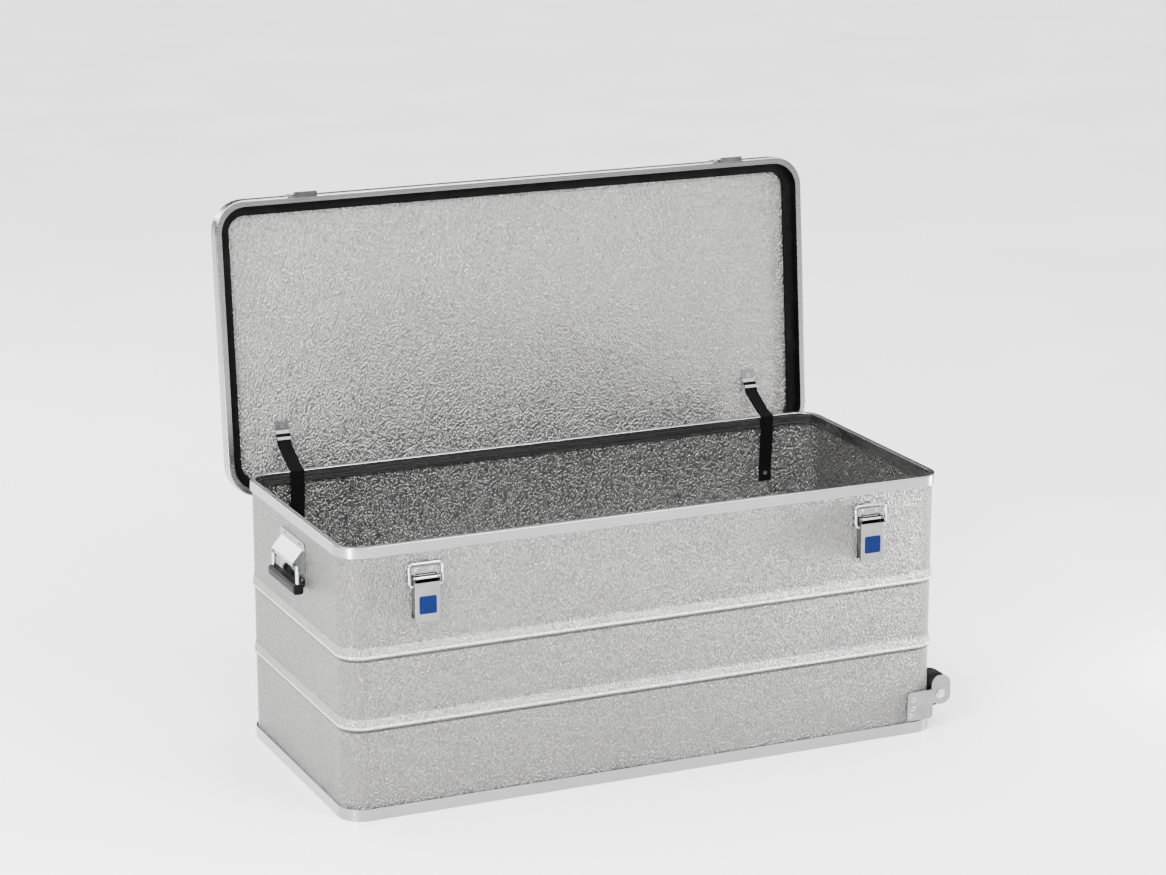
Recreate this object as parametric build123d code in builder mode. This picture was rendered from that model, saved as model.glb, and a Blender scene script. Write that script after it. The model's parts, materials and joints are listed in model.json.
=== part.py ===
from build123d import *
import math
import os

# An aluminium transport case on two recessed corner wheels, standing with its lid open.
# Millimetres. X runs along the length, with the wheels at the +X end. The latches face -Y and
# the hinges face +Y. +Z is up, and the origin is under the middle of the body, on its base.

# ---- driving dimensions ----
BODY_LENGTH = 1172.0  # over the rims
BODY_WIDTH = 522.0
BODY_HEIGHT = 495.0
SHEET = 1.5  # embossed aluminium wall
RIM_PROUD = 4.0  # the rims stand this far outside the sheet
RIM_THICK = 11.0  # the top rim across, outside face to inside face
RIM_WEB = 4.0
TOP_RIM_DEPTH = 19.0
TOP_RIM_INNER_DEPTH = 22.0
BOTTOM_RIM_HEIGHT = 22.0
BOTTOM_WEB = 3.0
BOTTOM_WEB_WIDTH = 14.0
CORNER_RADIUS = 42.0  # of the sheet, outside
BEAD_LEVELS = (177.0, 305.0)  # middle heights of the two stiffening beads
BEAD_HEIGHT = 28.0
BEAD_PROUD = 4.0
LID_OVERHANG = 14.0  # lid rim outside the body's rim
LID_SKIRT = 16.0  # how far the lid rim reaches below the body's top
LID_RISE = 15.0  # how far the lid rim stands above the body's top
LID_OPEN_ANGLE = 95.0
HINGE_X = 434.0
HINGE_BEHIND = 7.0  # pin behind the rim's outer face
HINGE_BELOW = 46.0  # pin below the body's top
LATCH_X = 434.0
STRAP_X = 485.0
GRIP_LENGTH = 138.0
HANDLE_LEVEL = 410.0  # height of the handle's pivot
AXLE_OUT = 10.0  # axle outside the end wall
AXLE_LEVEL = 70.0
WHEEL_RADIUS = 35.0
WHEEL_WIDTH = 27.0
FIT_GAP = 0.1  # between curved faces that meet in one body
PIN_CLEARANCE = 0.05

SHEET_LENGTH = BODY_LENGTH - 2 * RIM_PROUD
SHEET_WIDTH = BODY_WIDTH - 2 * RIM_PROUD
END_FACE = SHEET_LENGTH / 2
SIDE_FACE = SHEET_WIDTH / 2
RIM_SIDE = BODY_WIDTH / 2
LID_SIDE = RIM_SIDE + LID_OVERHANG
PIN_Y = RIM_SIDE + HINGE_BEHIND
PIN_Z = BODY_HEIGHT - HINGE_BELOW

os.makedirs("parts", exist_ok=True)

# ---- frames ----
# Every lid piece is drawn where it lies with the lid shut, in a frame turned about the hinge pin.
OPEN_SIN = math.sin(math.radians(LID_OPEN_ANGLE))
OPEN_COS = math.cos(math.radians(LID_OPEN_ANGLE))
CASE = Plane.XY
LID = Plane(
    origin=(
        0,
        PIN_Y - PIN_Y * OPEN_COS - PIN_Z * OPEN_SIN,
        PIN_Z + PIN_Y * OPEN_SIN - PIN_Z * OPEN_COS,
    ),
    x_dir=(1, 0, 0),
    z_dir=(0, OPEN_SIN, OPEN_COS),
)


def side_plane(frame, x):
    """Crosses the case at x. Its own x runs along the frame's Y and its own y along Z."""
    origin = frame.from_local_coords((x, 0, 0))
    return Plane(origin, x_dir=frame.y_dir, z_dir=frame.x_dir)


def front_plane(frame, y):
    """Faces forwards, towards -Y. Its own x runs along X and its own y along Z."""
    origin = frame.from_local_coords((0, y, 0))
    return Plane(origin, x_dir=frame.x_dir, z_dir=-frame.y_dir)


def back_plane(frame, y):
    """Faces backwards, towards +Y. Its own x runs along -X and its own y along Z."""
    origin = frame.from_local_coords((0, y, 0))
    return Plane(origin, x_dir=-frame.x_dir, z_dir=frame.y_dir)


def end_plane(side, out):
    """Faces out of the +X end (side 1) or the -X end (side -1). Its own x runs along side * Y."""
    return Plane((side * (END_FACE + out), 0, 0), x_dir=(0, side, 0), z_dir=(side, 0, 0))


def outward_plane(side, y):
    """Stands across an end wall at y. Its own x runs out of the wall and its own y along Z."""
    return Plane((side * END_FACE, y, 0), x_dir=(side, 0, 0), z_dir=(0, -side, 0))


# ---- shared shapes, each added to the part that is open ----
def outline(grow, mode=Mode.ADD):
    """The body's rounded rectangle, grown outwards from the sheet's outer face."""
    length = SHEET_LENGTH + 2 * grow
    width = SHEET_WIDTH + 2 * grow
    return RectangleRounded(length, width, CORNER_RADIUS + grow, mode=mode)


def prism(frame, low, high, grow, mode=Mode.ADD):
    """The outline filled between two heights."""
    with BuildSketch(frame.offset(low)) as area:
        outline(grow)
    extrude(area.sketch, amount=high - low, mode=mode)


def hoop(frame, low, high, outer, inner, mode=Mode.ADD):
    """A closed band around the body between two heights."""
    with BuildSketch(frame.offset(low)) as ring:
        outline(outer)
        outline(inner, mode=Mode.SUBTRACT)
    extrude(ring.sketch, amount=high - low, mode=mode)


def block(frame, low, high, mode=Mode.ADD):
    """A block between two corners, each given in the frame."""
    middle = [(a + b) / 2 for a, b in zip(low, high)]
    size = [b - a for a, b in zip(low, high)]
    with BuildSketch(frame.offset(low[2])) as base:
        with Locations((middle[0], middle[1])):
            Rectangle(size[0], size[1])
    extrude(base.sketch, amount=size[2], mode=mode)


def slab(plane, points, thick, both=False, mode=Mode.ADD):
    """A plate with straight sides, drawn as a list of corners on the plane."""
    with BuildSketch(plane) as shape:
        with BuildLine():
            Polyline(*points, close=True)
        make_face()
    extrude(shape.sketch, amount=thick, both=both, mode=mode)


def rod(plane, radius, length, mode=Mode.ADD):
    """A round bar standing on the plane."""
    with BuildSketch(plane) as disc:
        Circle(radius)
    extrude(disc.sketch, amount=length, mode=mode)


def edges_on(piece, plane, last=-1):
    """The edges that lie furthest along the plane's normal, or nearest with last=0."""
    return piece.edges().group_by(Axis(plane.origin, plane.z_dir))[last]


def save(piece, name):
    piece.part.label = name
    export_step(piece.part, f"parts/{name}.step")


# ---- rivets ----
RIVET_HEAD = 5.0
RIVET_HEAD_HEIGHT = 2.0
RIVET_SHANK = 2.4
RIVET_TAIL = 4.4
RIVET_TAIL_HEIGHT = 1.2


def rivet(grip):
    """A rivet standing at the origin: domed head above, shank and flared tail below."""
    dome_radius = (RIVET_HEAD**2 + RIVET_HEAD_HEIGHT**2) / (2 * RIVET_HEAD_HEIGHT)
    half_angle = math.asin(RIVET_HEAD / dome_radius) / 2
    dome_middle = (
        dome_radius * math.sin(half_angle),
        RIVET_HEAD_HEIGHT - dome_radius * (1 - math.cos(half_angle)),
    )
    with BuildPart() as one:
        with BuildSketch(Plane.XZ):
            with BuildLine():
                Polyline(
                    (0, RIVET_HEAD_HEIGHT),
                    (0, -grip - RIVET_TAIL_HEIGHT),
                    (RIVET_TAIL, -grip - RIVET_TAIL_HEIGHT),
                    (RIVET_TAIL, -grip),
                    (RIVET_SHANK, -grip),
                    (RIVET_SHANK, 0),
                    (RIVET_HEAD, 0),
                )
                ThreePointArc((RIVET_HEAD, 0), dome_middle, (0, RIVET_HEAD_HEIGHT))
            make_face()
        revolve(axis=Axis.Z)
    return one.part


def spots(group):
    """The places of one group of rivets, each as a plane facing the rivet's head."""
    plane, _, places = group
    return [
        Plane(plane.from_local_coords((*place, 0)), x_dir=plane.x_dir, z_dir=plane.z_dir)
        for place in places
    ]


def rivets(name, groups):
    """All rivets of one kind in one node. A group is (outer face, grip, places on that face)."""
    copies = []
    for group in groups:
        one = rivet(group[1])
        copies += [spot.location * one for spot in spots(group)]
    with BuildPart() as piece:
        for copy in copies:
            add(copy)
    save(piece, name)


def holes(groups):
    """Drills the rivet holes through the part that is open."""
    for group in groups:
        depth = 2 * group[1] + 2
        with Locations(*[spot.location for spot in spots(group)]):
            Cylinder(RIVET_SHANK + PIN_CLEARANCE, depth, mode=Mode.SUBTRACT)


def pair(x, spread, level):
    """Two places either side of x."""
    return [(x - spread, level), (x + spread, level)]


LEAF = 2.5  # hinge leaf thickness
LEAF_HALF = 35.0
CASE_LEAF_BOTTOM = 385.0
HINGE_RIVET_SPREAD = 24.0
HINGE_RIVET_LEVELS = (430.0, 396.0)
LID_RIVET_LEVEL = 494.0
LID_WALL = 3.0
LATCH_PLATE = 1.5
LATCH_RIVETS = ((14.0, 442.0), (14.0, 362.0))
CATCH_THICK = 2.0
STRAP_THICK = 2.0
STRAP_RIVET_LEVEL = 379.0
CLIP_RIVET_Y = 153.0
CLIP_THICK = 1.5
HANDLE_PLATE = 2.0
BRACKET = 3.0
LID_PANEL_UNDER = 505.5
LID_PANEL = 1.5
SEAM_X = -389.0
SEAM_OVERLAP = 22.0
SEAM_RIVET_LEVELS = (48.0, 86.0, 124.0, 218.0, 255.0, 345.0, 382.0, 418.0, 455.0)

case_hinge_rivets = [
    (
        back_plane(CASE, SIDE_FACE + LEAF),
        SHEET + LEAF,
        [place for x in (HINGE_X, -HINGE_X) for z in HINGE_RIVET_LEVELS for place in pair(x, HINGE_RIVET_SPREAD, z)],
    )
]
lid_hinge_rivets = [
    (
        back_plane(LID, LID_SIDE + LEAF),
        LID_WALL + LEAF,
        [place for x in (HINGE_X, -HINGE_X) for place in pair(x, HINGE_RIVET_SPREAD, LID_RIVET_LEVEL)],
    )
]
latch_rivets = [
    (
        front_plane(CASE, -SIDE_FACE - LATCH_PLATE),
        SHEET + LATCH_PLATE,
        [place for x in (LATCH_X, -LATCH_X) for spread, z in LATCH_RIVETS for place in pair(x, spread, z)],
    )
]
catch_rivets = [
    (
        front_plane(LID, -LID_SIDE - CATCH_THICK),
        LID_WALL + CATCH_THICK,
        [place for x in (LATCH_X, -LATCH_X) for place in pair(x, 12.0, LID_RIVET_LEVEL)],
    )
]
strap_rivets = [
    (
        back_plane(CASE, SIDE_FACE),
        SHEET + STRAP_THICK,
        [(x, STRAP_RIVET_LEVEL) for x in (STRAP_X, -STRAP_X)],
    )
]
clip_rivets = [
    (
        LID.offset(LID_PANEL_UNDER + LID_PANEL),
        LID_PANEL + CLIP_THICK,
        [(x, CLIP_RIVET_Y) for x in (STRAP_X, -STRAP_X)],
    )
]
seam_rivets = [
    (
        back_plane(CASE, SIDE_FACE),
        2 * SHEET,
        [(-SEAM_X - SEAM_OVERLAP / 2, level) for level in SEAM_RIVET_LEVELS],
    )
]
handle_rivets = [
    (
        end_plane(side, HANDLE_PLATE),
        SHEET + HANDLE_PLATE,
        pair(0, 40.0, HANDLE_LEVEL + 35.0) + pair(0, 50.0, HANDLE_LEVEL - 30.0),
    )
    for side in (1, -1)
]
BRACKET_RIVETS = [(535.0, 64.0), (535.0, 47.0), (530.0, 33.0)]
ARM_RIVETS = [(182.0, 84.0), (182.0, 56.0)]
wheel_rivets = [
    (front_plane(CASE, -SIDE_FACE - BRACKET), SHEET + BRACKET, BRACKET_RIVETS),
    (back_plane(CASE, SIDE_FACE + BRACKET), SHEET + BRACKET, [(-x, z) for x, z in BRACKET_RIVETS]),
    (end_plane(1, BRACKET), SHEET + BRACKET, ARM_RIVETS + [(-y, z) for y, z in ARM_RIVETS]),
]

# ---- wheel recesses, which the shell's notches follow ----
AXLE_X = END_FACE + AXLE_OUT
NOTCH_OUTER = 237.0
NOTCH_INNER = 201.0
NOTCH_BOTTOM = 31.0
NOTCH_TOP = 110.0
NOTCH_BACK = 551.0
WHEEL_OUTER = NOTCH_OUTER - 5.0
WHEEL_INNER = WHEEL_OUTER - WHEEL_WIDTH

# ---- body sheet ----
SHELL_TOP = BODY_HEIGHT - RIM_WEB
SEAM_TOP = BODY_HEIGHT - TOP_RIM_INNER_DEPTH - 1.0
CREST_DROP = 7.0  # the bead's crest lies below its middle


def bead(level, shift, mode):
    """Sweeps a bead around the body: a long upper slope, a rounded crest and a tight return."""
    half = BEAD_HEIGHT / 2
    crest = shift + BEAD_PROUD
    with BuildLine(Plane.XY.offset(level)) as path:
        FilletPolyline(
            (0, -SIDE_FACE),
            (END_FACE, -SIDE_FACE),
            (END_FACE, SIDE_FACE),
            (-END_FACE, SIDE_FACE),
            (-END_FACE, -SIDE_FACE),
            (-1, -SIDE_FACE),
            radius=CORNER_RADIUS,
        )
        Line((-1, -SIDE_FACE), (0, -SIDE_FACE))
    with BuildSketch(Plane((0, -SIDE_FACE, level), x_dir=(0, -1, 0), z_dir=(1, 0, 0))) as section:
        with BuildLine():
            ThreePointArc(
                (crest - 0.8, CREST_DROP - 3.5),
                (crest, CREST_DROP),
                (crest - 0.8, CREST_DROP + 3.5),
            )
            Polyline(
                (crest - 0.8, CREST_DROP + 3.5),
                (shift, half),
                (shift - SHEET, half),
                (shift - SHEET, -half),
                (shift, -half),
                (crest - 0.8, CREST_DROP - 3.5),
            )
        make_face()
    sweep(section.sketch, path=path.wires()[0], mode=mode)


def seam_flange(low, high):
    """The sheet's other end, lapped inside the back wall between two heights."""
    block(
        CASE,
        (SEAM_X, SIDE_FACE - 2 * SHEET, low),
        (SEAM_X + SEAM_OVERLAP, SIDE_FACE - SHEET, high),
    )


with BuildPart() as body_shell:
    hoop(CASE, BOTTOM_WEB, SHELL_TOP, 0, -SHEET)
    for bead_level in BEAD_LEVELS:
        bead(bead_level, 0, Mode.ADD)
    for bead_level in BEAD_LEVELS:
        bead(bead_level, -SHEET, Mode.SUBTRACT)
    seam_flange(BOTTOM_RIM_HEIGHT, BEAD_LEVELS[0] - BEAD_HEIGHT / 2)
    seam_flange(BEAD_LEVELS[0] + BEAD_HEIGHT / 2, BEAD_LEVELS[1] - BEAD_HEIGHT / 2)
    seam_flange(BEAD_LEVELS[1] + BEAD_HEIGHT / 2, SEAM_TOP)
    for side in (1, -1):
        notch_sides = sorted((side * NOTCH_OUTER, side * NOTCH_INNER))
        block(
            CASE,
            (NOTCH_BACK, notch_sides[0], NOTCH_BOTTOM),
            (END_FACE + RIM_PROUD, notch_sides[1], NOTCH_TOP),
            mode=Mode.SUBTRACT,
        )
    holes(case_hinge_rivets)
    holes(latch_rivets)
    holes(strap_rivets)
    holes(seam_rivets)
    holes(handle_rivets)
    holes(wheel_rivets)
save(body_shell, "body_shell")
rivets("seam_rivets", seam_rivets)

# ---- rims and base ----
RIM_INNER = RIM_PROUD - RIM_THICK
RIM_JOINTS = (-412.0, -244.0, 238.0)
JOINT_LINE = 0.6

with BuildPart() as top_rim:
    hoop(CASE, BODY_HEIGHT - TOP_RIM_INNER_DEPTH, BODY_HEIGHT, RIM_PROUD, RIM_INNER)
    fillet(edges_on(top_rim, CASE), radius=1.8)
    hoop(
        CASE,
        BODY_HEIGHT - TOP_RIM_INNER_DEPTH,
        BODY_HEIGHT - TOP_RIM_DEPTH,
        RIM_PROUD + 1,
        -SHEET,
        mode=Mode.SUBTRACT,
    )
    hoop(
        CASE,
        BODY_HEIGHT - TOP_RIM_INNER_DEPTH,
        SHELL_TOP,
        FIT_GAP,
        -SHEET - FIT_GAP,
        mode=Mode.SUBTRACT,
    )
    # hairline joints between the lengths of extrusion in the back rim
    for joint_x in RIM_JOINTS:
        block(
            CASE,
            (joint_x - JOINT_LINE / 2, SIDE_FACE + RIM_INNER, BODY_HEIGHT - JOINT_LINE),
            (joint_x + JOINT_LINE / 2, RIM_SIDE, BODY_HEIGHT),
            mode=Mode.SUBTRACT,
        )
save(top_rim, "top_rim")

with BuildPart() as bottom_rim:
    prism(CASE, 0, BOTTOM_RIM_HEIGHT, RIM_PROUD)
    fillet(edges_on(bottom_rim, CASE, last=0), radius=1.5)
    prism(CASE, BOTTOM_WEB, BOTTOM_RIM_HEIGHT, FIT_GAP, mode=Mode.SUBTRACT)
    prism(CASE, 0, BOTTOM_WEB, -BOTTOM_WEB_WIDTH, mode=Mode.SUBTRACT)
save(bottom_rim, "bottom_rim")

BASE_SHEET = 2.0
with BuildPart() as base_panel:
    prism(CASE, BOTTOM_WEB, BOTTOM_WEB + BASE_SHEET, -SHEET - FIT_GAP)
save(base_panel, "base_panel")

# ---- lid ----
SKIRT_FOOT = BODY_HEIGHT - LID_SKIRT
LID_CROWN = BODY_HEIGHT + LID_RISE
LID_OUTER = RIM_PROUD + LID_OVERHANG
LID_FLANGE = 3.0
LID_FLANGE_INNER = LID_OUTER - 22.0
LIP_INNER = RIM_PROUD + 2.0
CROWN_ROUND = 6.0
LIP_ROUND = 3.0

with BuildPart() as lid_rim:
    prism(LID, SKIRT_FOOT, LID_CROWN, LID_OUTER)
    fillet(edges_on(lid_rim, LID), radius=CROWN_ROUND)
    fillet(edges_on(lid_rim, LID, last=0), radius=LIP_ROUND)
    prism(LID, SKIRT_FOOT, SKIRT_FOOT + LID_FLANGE, LIP_INNER, mode=Mode.SUBTRACT)
    prism(
        LID,
        SKIRT_FOOT + LID_FLANGE,
        LID_CROWN - LID_FLANGE,
        LID_OUTER - LID_WALL,
        mode=Mode.SUBTRACT,
    )
    prism(LID, LID_CROWN - LID_FLANGE, LID_CROWN, LID_FLANGE_INNER, mode=Mode.SUBTRACT)
    holes(lid_hinge_rivets)
    holes(catch_rivets)
save(lid_rim, "lid_rim")

with BuildPart() as lid_panel:
    prism(LID, LID_PANEL_UNDER, LID_PANEL_UNDER + LID_PANEL, LID_OUTER - LID_WALL - 1)
    holes(clip_rivets)
save(lid_panel, "lid_panel")

SEAL_LIFT = 0.3  # between the seal and the body's rim when shut
SEAL_WALL = 3.0
SEAL_INNER = -12.5

with BuildPart() as lid_seal:
    hoop(LID, SKIRT_FOOT + LID_FLANGE, LID_PANEL_UNDER, LIP_INNER + SEAL_WALL, LIP_INNER)
    hoop(LID, BODY_HEIGHT + SEAL_LIFT, LID_PANEL_UNDER, LIP_INNER + SEAL_WALL, SEAL_INNER)
save(lid_seal, "lid_seal")

# ---- hinges ----
KNUCKLE = 5.0
HINGE_PIN = 2.5
KNUCKLE_HALF = 11.5  # half of the middle knuckle's length
KNUCKLE_GAP = 0.5
LID_LEAF_FOOT = 455.0
LID_LEAF_TOP = 503.0
PIN_BORE = HINGE_PIN + PIN_CLEARANCE


def hinge(name, x):
    """One hinge: the case leaf has the two outer knuckles and the lid leaf the middle one."""
    with BuildPart() as case_leaf:
        block(
            CASE,
            (x - LEAF_HALF, SIDE_FACE, CASE_LEAF_BOTTOM),
            (x + LEAF_HALF, SIDE_FACE + LEAF, PIN_Z - KNUCKLE),
        )
        fillet(case_leaf.edges().filter_by(Axis.Y).group_by(Axis.Z)[0], radius=6)
        for start in (x - LEAF_HALF, x + KNUCKLE_HALF + KNUCKLE_GAP):
            length = LEAF_HALF - KNUCKLE_HALF - KNUCKLE_GAP
            block(
                CASE,
                (start, SIDE_FACE, PIN_Z - KNUCKLE),
                (start + length, PIN_Y, PIN_Z - KNUCKLE + LEAF),
            )
            rod(Plane((start, PIN_Y, PIN_Z), z_dir=(1, 0, 0)), KNUCKLE, length)
        rod(
            Plane((x - LEAF_HALF, PIN_Y, PIN_Z), z_dir=(1, 0, 0)),
            PIN_BORE,
            2 * LEAF_HALF,
            mode=Mode.SUBTRACT,
        )
        holes(case_hinge_rivets)
    save(case_leaf, f"case_hinge_leaf_{name}")

    with BuildPart() as lid_leaf:
        block(
            LID,
            (x - LEAF_HALF, LID_SIDE, LID_LEAF_FOOT),
            (x + LEAF_HALF, LID_SIDE + LEAF, LID_LEAF_TOP),
        )
        block(
            LID,
            (x - KNUCKLE_HALF, LID_SIDE, PIN_Z - LEAF / 2),
            (x + KNUCKLE_HALF, LID_SIDE + LEAF, LID_LEAF_FOOT),
        )
        block(
            LID,
            (x - KNUCKLE_HALF, PIN_Y, PIN_Z - LEAF / 2),
            (x + KNUCKLE_HALF, LID_SIDE + LEAF, PIN_Z + LEAF / 2),
        )
        rod(
            Plane((x - KNUCKLE_HALF, PIN_Y, PIN_Z), z_dir=(1, 0, 0)),
            KNUCKLE,
            2 * KNUCKLE_HALF,
        )
        rod(
            Plane((x - KNUCKLE_HALF, PIN_Y, PIN_Z), z_dir=(1, 0, 0)),
            PIN_BORE,
            2 * KNUCKLE_HALF,
            mode=Mode.SUBTRACT,
        )
        holes(lid_hinge_rivets)
    save(lid_leaf, f"lid_hinge_leaf_{name}")

    with BuildPart() as pin:
        rod(Plane((x - LEAF_HALF - 1, PIN_Y, PIN_Z), z_dir=(1, 0, 0)), HINGE_PIN, 2 * LEAF_HALF + 2)
    save(pin, f"hinge_pin_{name}")


for hinge_name, hinge_x in (("left", -HINGE_X), ("right", HINGE_X)):
    hinge(hinge_name, hinge_x)
rivets("case_hinge_rivets", case_hinge_rivets)
rivets("lid_hinge_rivets", lid_hinge_rivets)

# ---- lid straps ----
STRAP_WIDTH = 27.0
STRAP_FOOT = 363.0
CLIP_WIDTH = 26.0
CLIP_BACK = 142.0  # lid coordinates, further from the hinge
CLIP_BEND = 160.0
CLIP_FRONT = 176.0
CLIP_STAND = 15.0  # the strap end of the clip stands this far off the lid's sheet
STRAP_CLIP_GAP = 0.4


def clip_under(y):
    """Height of the clip's lower face over its raised part, in the lid's frame."""
    along = (y - CLIP_BEND) / (CLIP_FRONT - CLIP_BEND)
    return LID_PANEL_UNDER - CLIP_THICK - along * (CLIP_STAND - CLIP_THICK)


def strap(name, x):
    """A strap from the back wall over the rim to its clip on the lid."""
    wall = SIDE_FACE - SHEET - STRAP_THICK / 2
    rim = SIDE_FACE + RIM_INNER - STRAP_THICK / 2 - 0.5
    over = BODY_HEIGHT + STRAP_THICK / 2 + 0.6
    end_low = LID.from_local_coords((0, CLIP_FRONT + 3, clip_under(CLIP_FRONT + 3) - 1.6))
    end_high = LID.from_local_coords((0, CLIP_BEND + 5, clip_under(CLIP_BEND + 5) - 1.6))
    with BuildPart() as webbing:
        with BuildSketch(side_plane(CASE, x)):
            with BuildLine():
                Polyline(
                    (wall, STRAP_FOOT),
                    (wall, STRAP_RIVET_LEVEL + 14),
                    (rim, BODY_HEIGHT - TOP_RIM_INNER_DEPTH - 4),
                    (rim, over),
                    (RIM_SIDE + 3, over + 2),
                    (end_low.Y, end_low.Z),
                    (end_high.Y, end_high.Z),
                )
            trace(line_width=STRAP_THICK)
        extrude(amount=STRAP_WIDTH / 2, both=True)
        holes(strap_rivets)
    save(webbing, f"strap_{name}")


def strap_clip(name, x):
    """A bent clip on the lid that pinches the strap's end."""
    with BuildPart() as clip:
        under = LID_PANEL_UNDER
        slab(
            side_plane(LID, x),
            [
                (CLIP_BACK, under),
                (CLIP_BEND, under),
                (CLIP_FRONT, under - CLIP_STAND + CLIP_THICK),
                (CLIP_FRONT, under - CLIP_STAND),
                (CLIP_BEND, under - CLIP_THICK),
                (CLIP_BACK, under - CLIP_THICK),
            ],
            CLIP_WIDTH / 2,
            both=True,
        )
        holes(clip_rivets)
    save(clip, f"strap_clip_{name}")


for strap_name, strap_x in (("left", -STRAP_X), ("right", STRAP_X)):
    strap(strap_name, strap_x)
    strap_clip(strap_name, strap_x)
rivets("strap_rivets", strap_rivets)
rivets("clip_rivets", clip_rivets)

# ---- latches ----
LATCH_PLATE_HALF = 25.0
LATCH_PLATE_LOW = 354.0
LATCH_PLATE_HIGH = 449.0
LEVER_Y = -265.0  # lever pivot
LEVER_Z = 430.0
BAIL_Y = -264.0  # wire loop's pivot, on the lever
BAIL_Z = 416.0
BAIL_TOP_Y = -260.4
BAIL_TOP_Z = 455.0
BAIL_HALF = 30.7
BAIL_WIRE = 2.3
BAIL_BEND = 6.5
LEVER_HALF = 23.5
LEVER_SHEET = 1.5
LEVER_FACE = -271.5
LEVER_LOW = 352.0
LEVER_HIGH = 423.0
FLANGE_BACK = -259.4
LUG_OUTER = 21.0
LUG = 2.0
LUG_ROUND = 3.6
LATCH_PIN = 2.5
LABEL_SIDE = 32.0
LABEL_LOW = 367.0
LABEL = 0.5


def latch_base(name, x):
    """The plate on the case, with two lugs for the lever's pin and a raised lip."""
    with BuildPart() as base:
        block(
            CASE,
            (x - LATCH_PLATE_HALF, -SIDE_FACE - LATCH_PLATE, LATCH_PLATE_LOW),
            (x + LATCH_PLATE_HALF, -SIDE_FACE, LATCH_PLATE_HIGH),
        )
        fillet(base.edges().filter_by(Axis.Y), radius=4)
        block(
            CASE,
            (x - 17, -SIDE_FACE - 5, LEVER_Z + 4),
            (x + 17, -SIDE_FACE - LATCH_PLATE, LEVER_Z + 5.5),
        )
        for start in (x - LUG_OUTER, x + LUG_OUTER - LUG):
            slab(
                side_plane(CASE, start),
                [
                    (-SIDE_FACE - LATCH_PLATE, LEVER_Z - LUG_ROUND),
                    (LEVER_Y, LEVER_Z - LUG_ROUND),
                    (LEVER_Y, LEVER_Z + LUG_ROUND),
                    (-SIDE_FACE - LATCH_PLATE, LEVER_Z + LUG_ROUND),
                ],
                LUG,
            )
            rod(Plane((start, LEVER_Y, LEVER_Z), z_dir=(1, 0, 0)), LUG_ROUND, LUG)
        rod(
            Plane((x - LUG_OUTER, LEVER_Y, LEVER_Z), z_dir=(1, 0, 0)),
            LATCH_PIN + PIN_CLEARANCE,
            2 * LUG_OUTER,
            mode=Mode.SUBTRACT,
        )
        holes(latch_rivets)
    save(base, f"latch_base_{name}")

    with BuildPart() as pin:
        rod(
            Plane((x - LEVER_HALF - 1, LEVER_Y, LEVER_Z), z_dir=(1, 0, 0)),
            LATCH_PIN,
            2 * LEVER_HALF + 2,
        )
    save(pin, f"latch_pin_{name}")


def lever(name, x):
    """The latch's handle: a front plate with two side flanges that hang on the pin."""
    with BuildPart() as handle:
        block(
            CASE,
            (x - LEVER_HALF, LEVER_FACE, LEVER_LOW),
            (x + LEVER_HALF, LEVER_FACE + LEVER_SHEET, LEVER_HIGH),
        )
        for start in (x - LEVER_HALF, x + LEVER_HALF - LEVER_SHEET):
            slab(
                side_plane(CASE, start),
                [
                    (LEVER_FACE, LEVER_LOW),
                    (LEVER_FACE + 4, LEVER_LOW),
                    (FLANGE_BACK, LEVER_LOW + 22),
                    (FLANGE_BACK, BAIL_Z),
                    (LEVER_Y + 4.4, LEVER_Z),
                    (LEVER_Y - 4.4, LEVER_Z),
                    (LEVER_FACE, LEVER_HIGH),
                ],
                LEVER_SHEET,
            )
            rod(Plane((start, LEVER_Y, LEVER_Z), z_dir=(1, 0, 0)), 4.4, LEVER_SHEET)
        corner_edges = handle.edges().filter_by(Axis.Z).group_by(Axis.Y)[0]
        fillet(corner_edges, radius=1.4)
        for centre_y, centre_z, radius in (
            (LEVER_Y, LEVER_Z, LATCH_PIN + PIN_CLEARANCE),
            (BAIL_Y, BAIL_Z, BAIL_WIRE + PIN_CLEARANCE),
        ):
            rod(
                Plane((x - LEVER_HALF, centre_y, centre_z), z_dir=(1, 0, 0)),
                radius,
                2 * LEVER_HALF,
                mode=Mode.SUBTRACT,
            )
    save(handle, f"latch_lever_{name}")

    with BuildPart() as label:
        block(
            CASE,
            (x - LABEL_SIDE / 2, LEVER_FACE - LABEL, LABEL_LOW),
            (x + LABEL_SIDE / 2, LEVER_FACE, LABEL_LOW + LABEL_SIDE),
        )
        fillet(label.edges().filter_by(Axis.Y), radius=3)
    save(label, f"latch_label_{name}")


def bail(name, x):
    """The wire loop, turned in at both ends through the lever's flanges."""
    lean = Plane(
        (x, BAIL_Y, BAIL_Z),
        x_dir=(1, 0, 0),
        z_dir=(0, BAIL_Z - BAIL_TOP_Z, BAIL_TOP_Y - BAIL_Y),
    )
    reach = math.hypot(BAIL_TOP_Y - BAIL_Y, BAIL_TOP_Z - BAIL_Z)
    tip = LUG_OUTER + 0.3
    with BuildPart() as wire:
        with BuildLine(lean) as path:
            FilletPolyline(
                (-tip, 0),
                (-BAIL_HALF, 0),
                (-BAIL_HALF, reach),
                (BAIL_HALF, reach),
                (BAIL_HALF, 0),
                (tip, 0),
                radius=BAIL_BEND,
            )
        with BuildSketch(Plane((x - tip, BAIL_Y, BAIL_Z), z_dir=(-1, 0, 0))):
            Circle(BAIL_WIRE)
        sweep(path=path.wires()[0])
    save(wire, f"latch_bail_{name}")


CATCH_HALF = 22.0
CATCH_LOW = 448.0
CATCH_HIGH = 502.0
CATCH_LIP_OUT = 10.0
CATCH_LIP_TOP = 454.5


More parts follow.
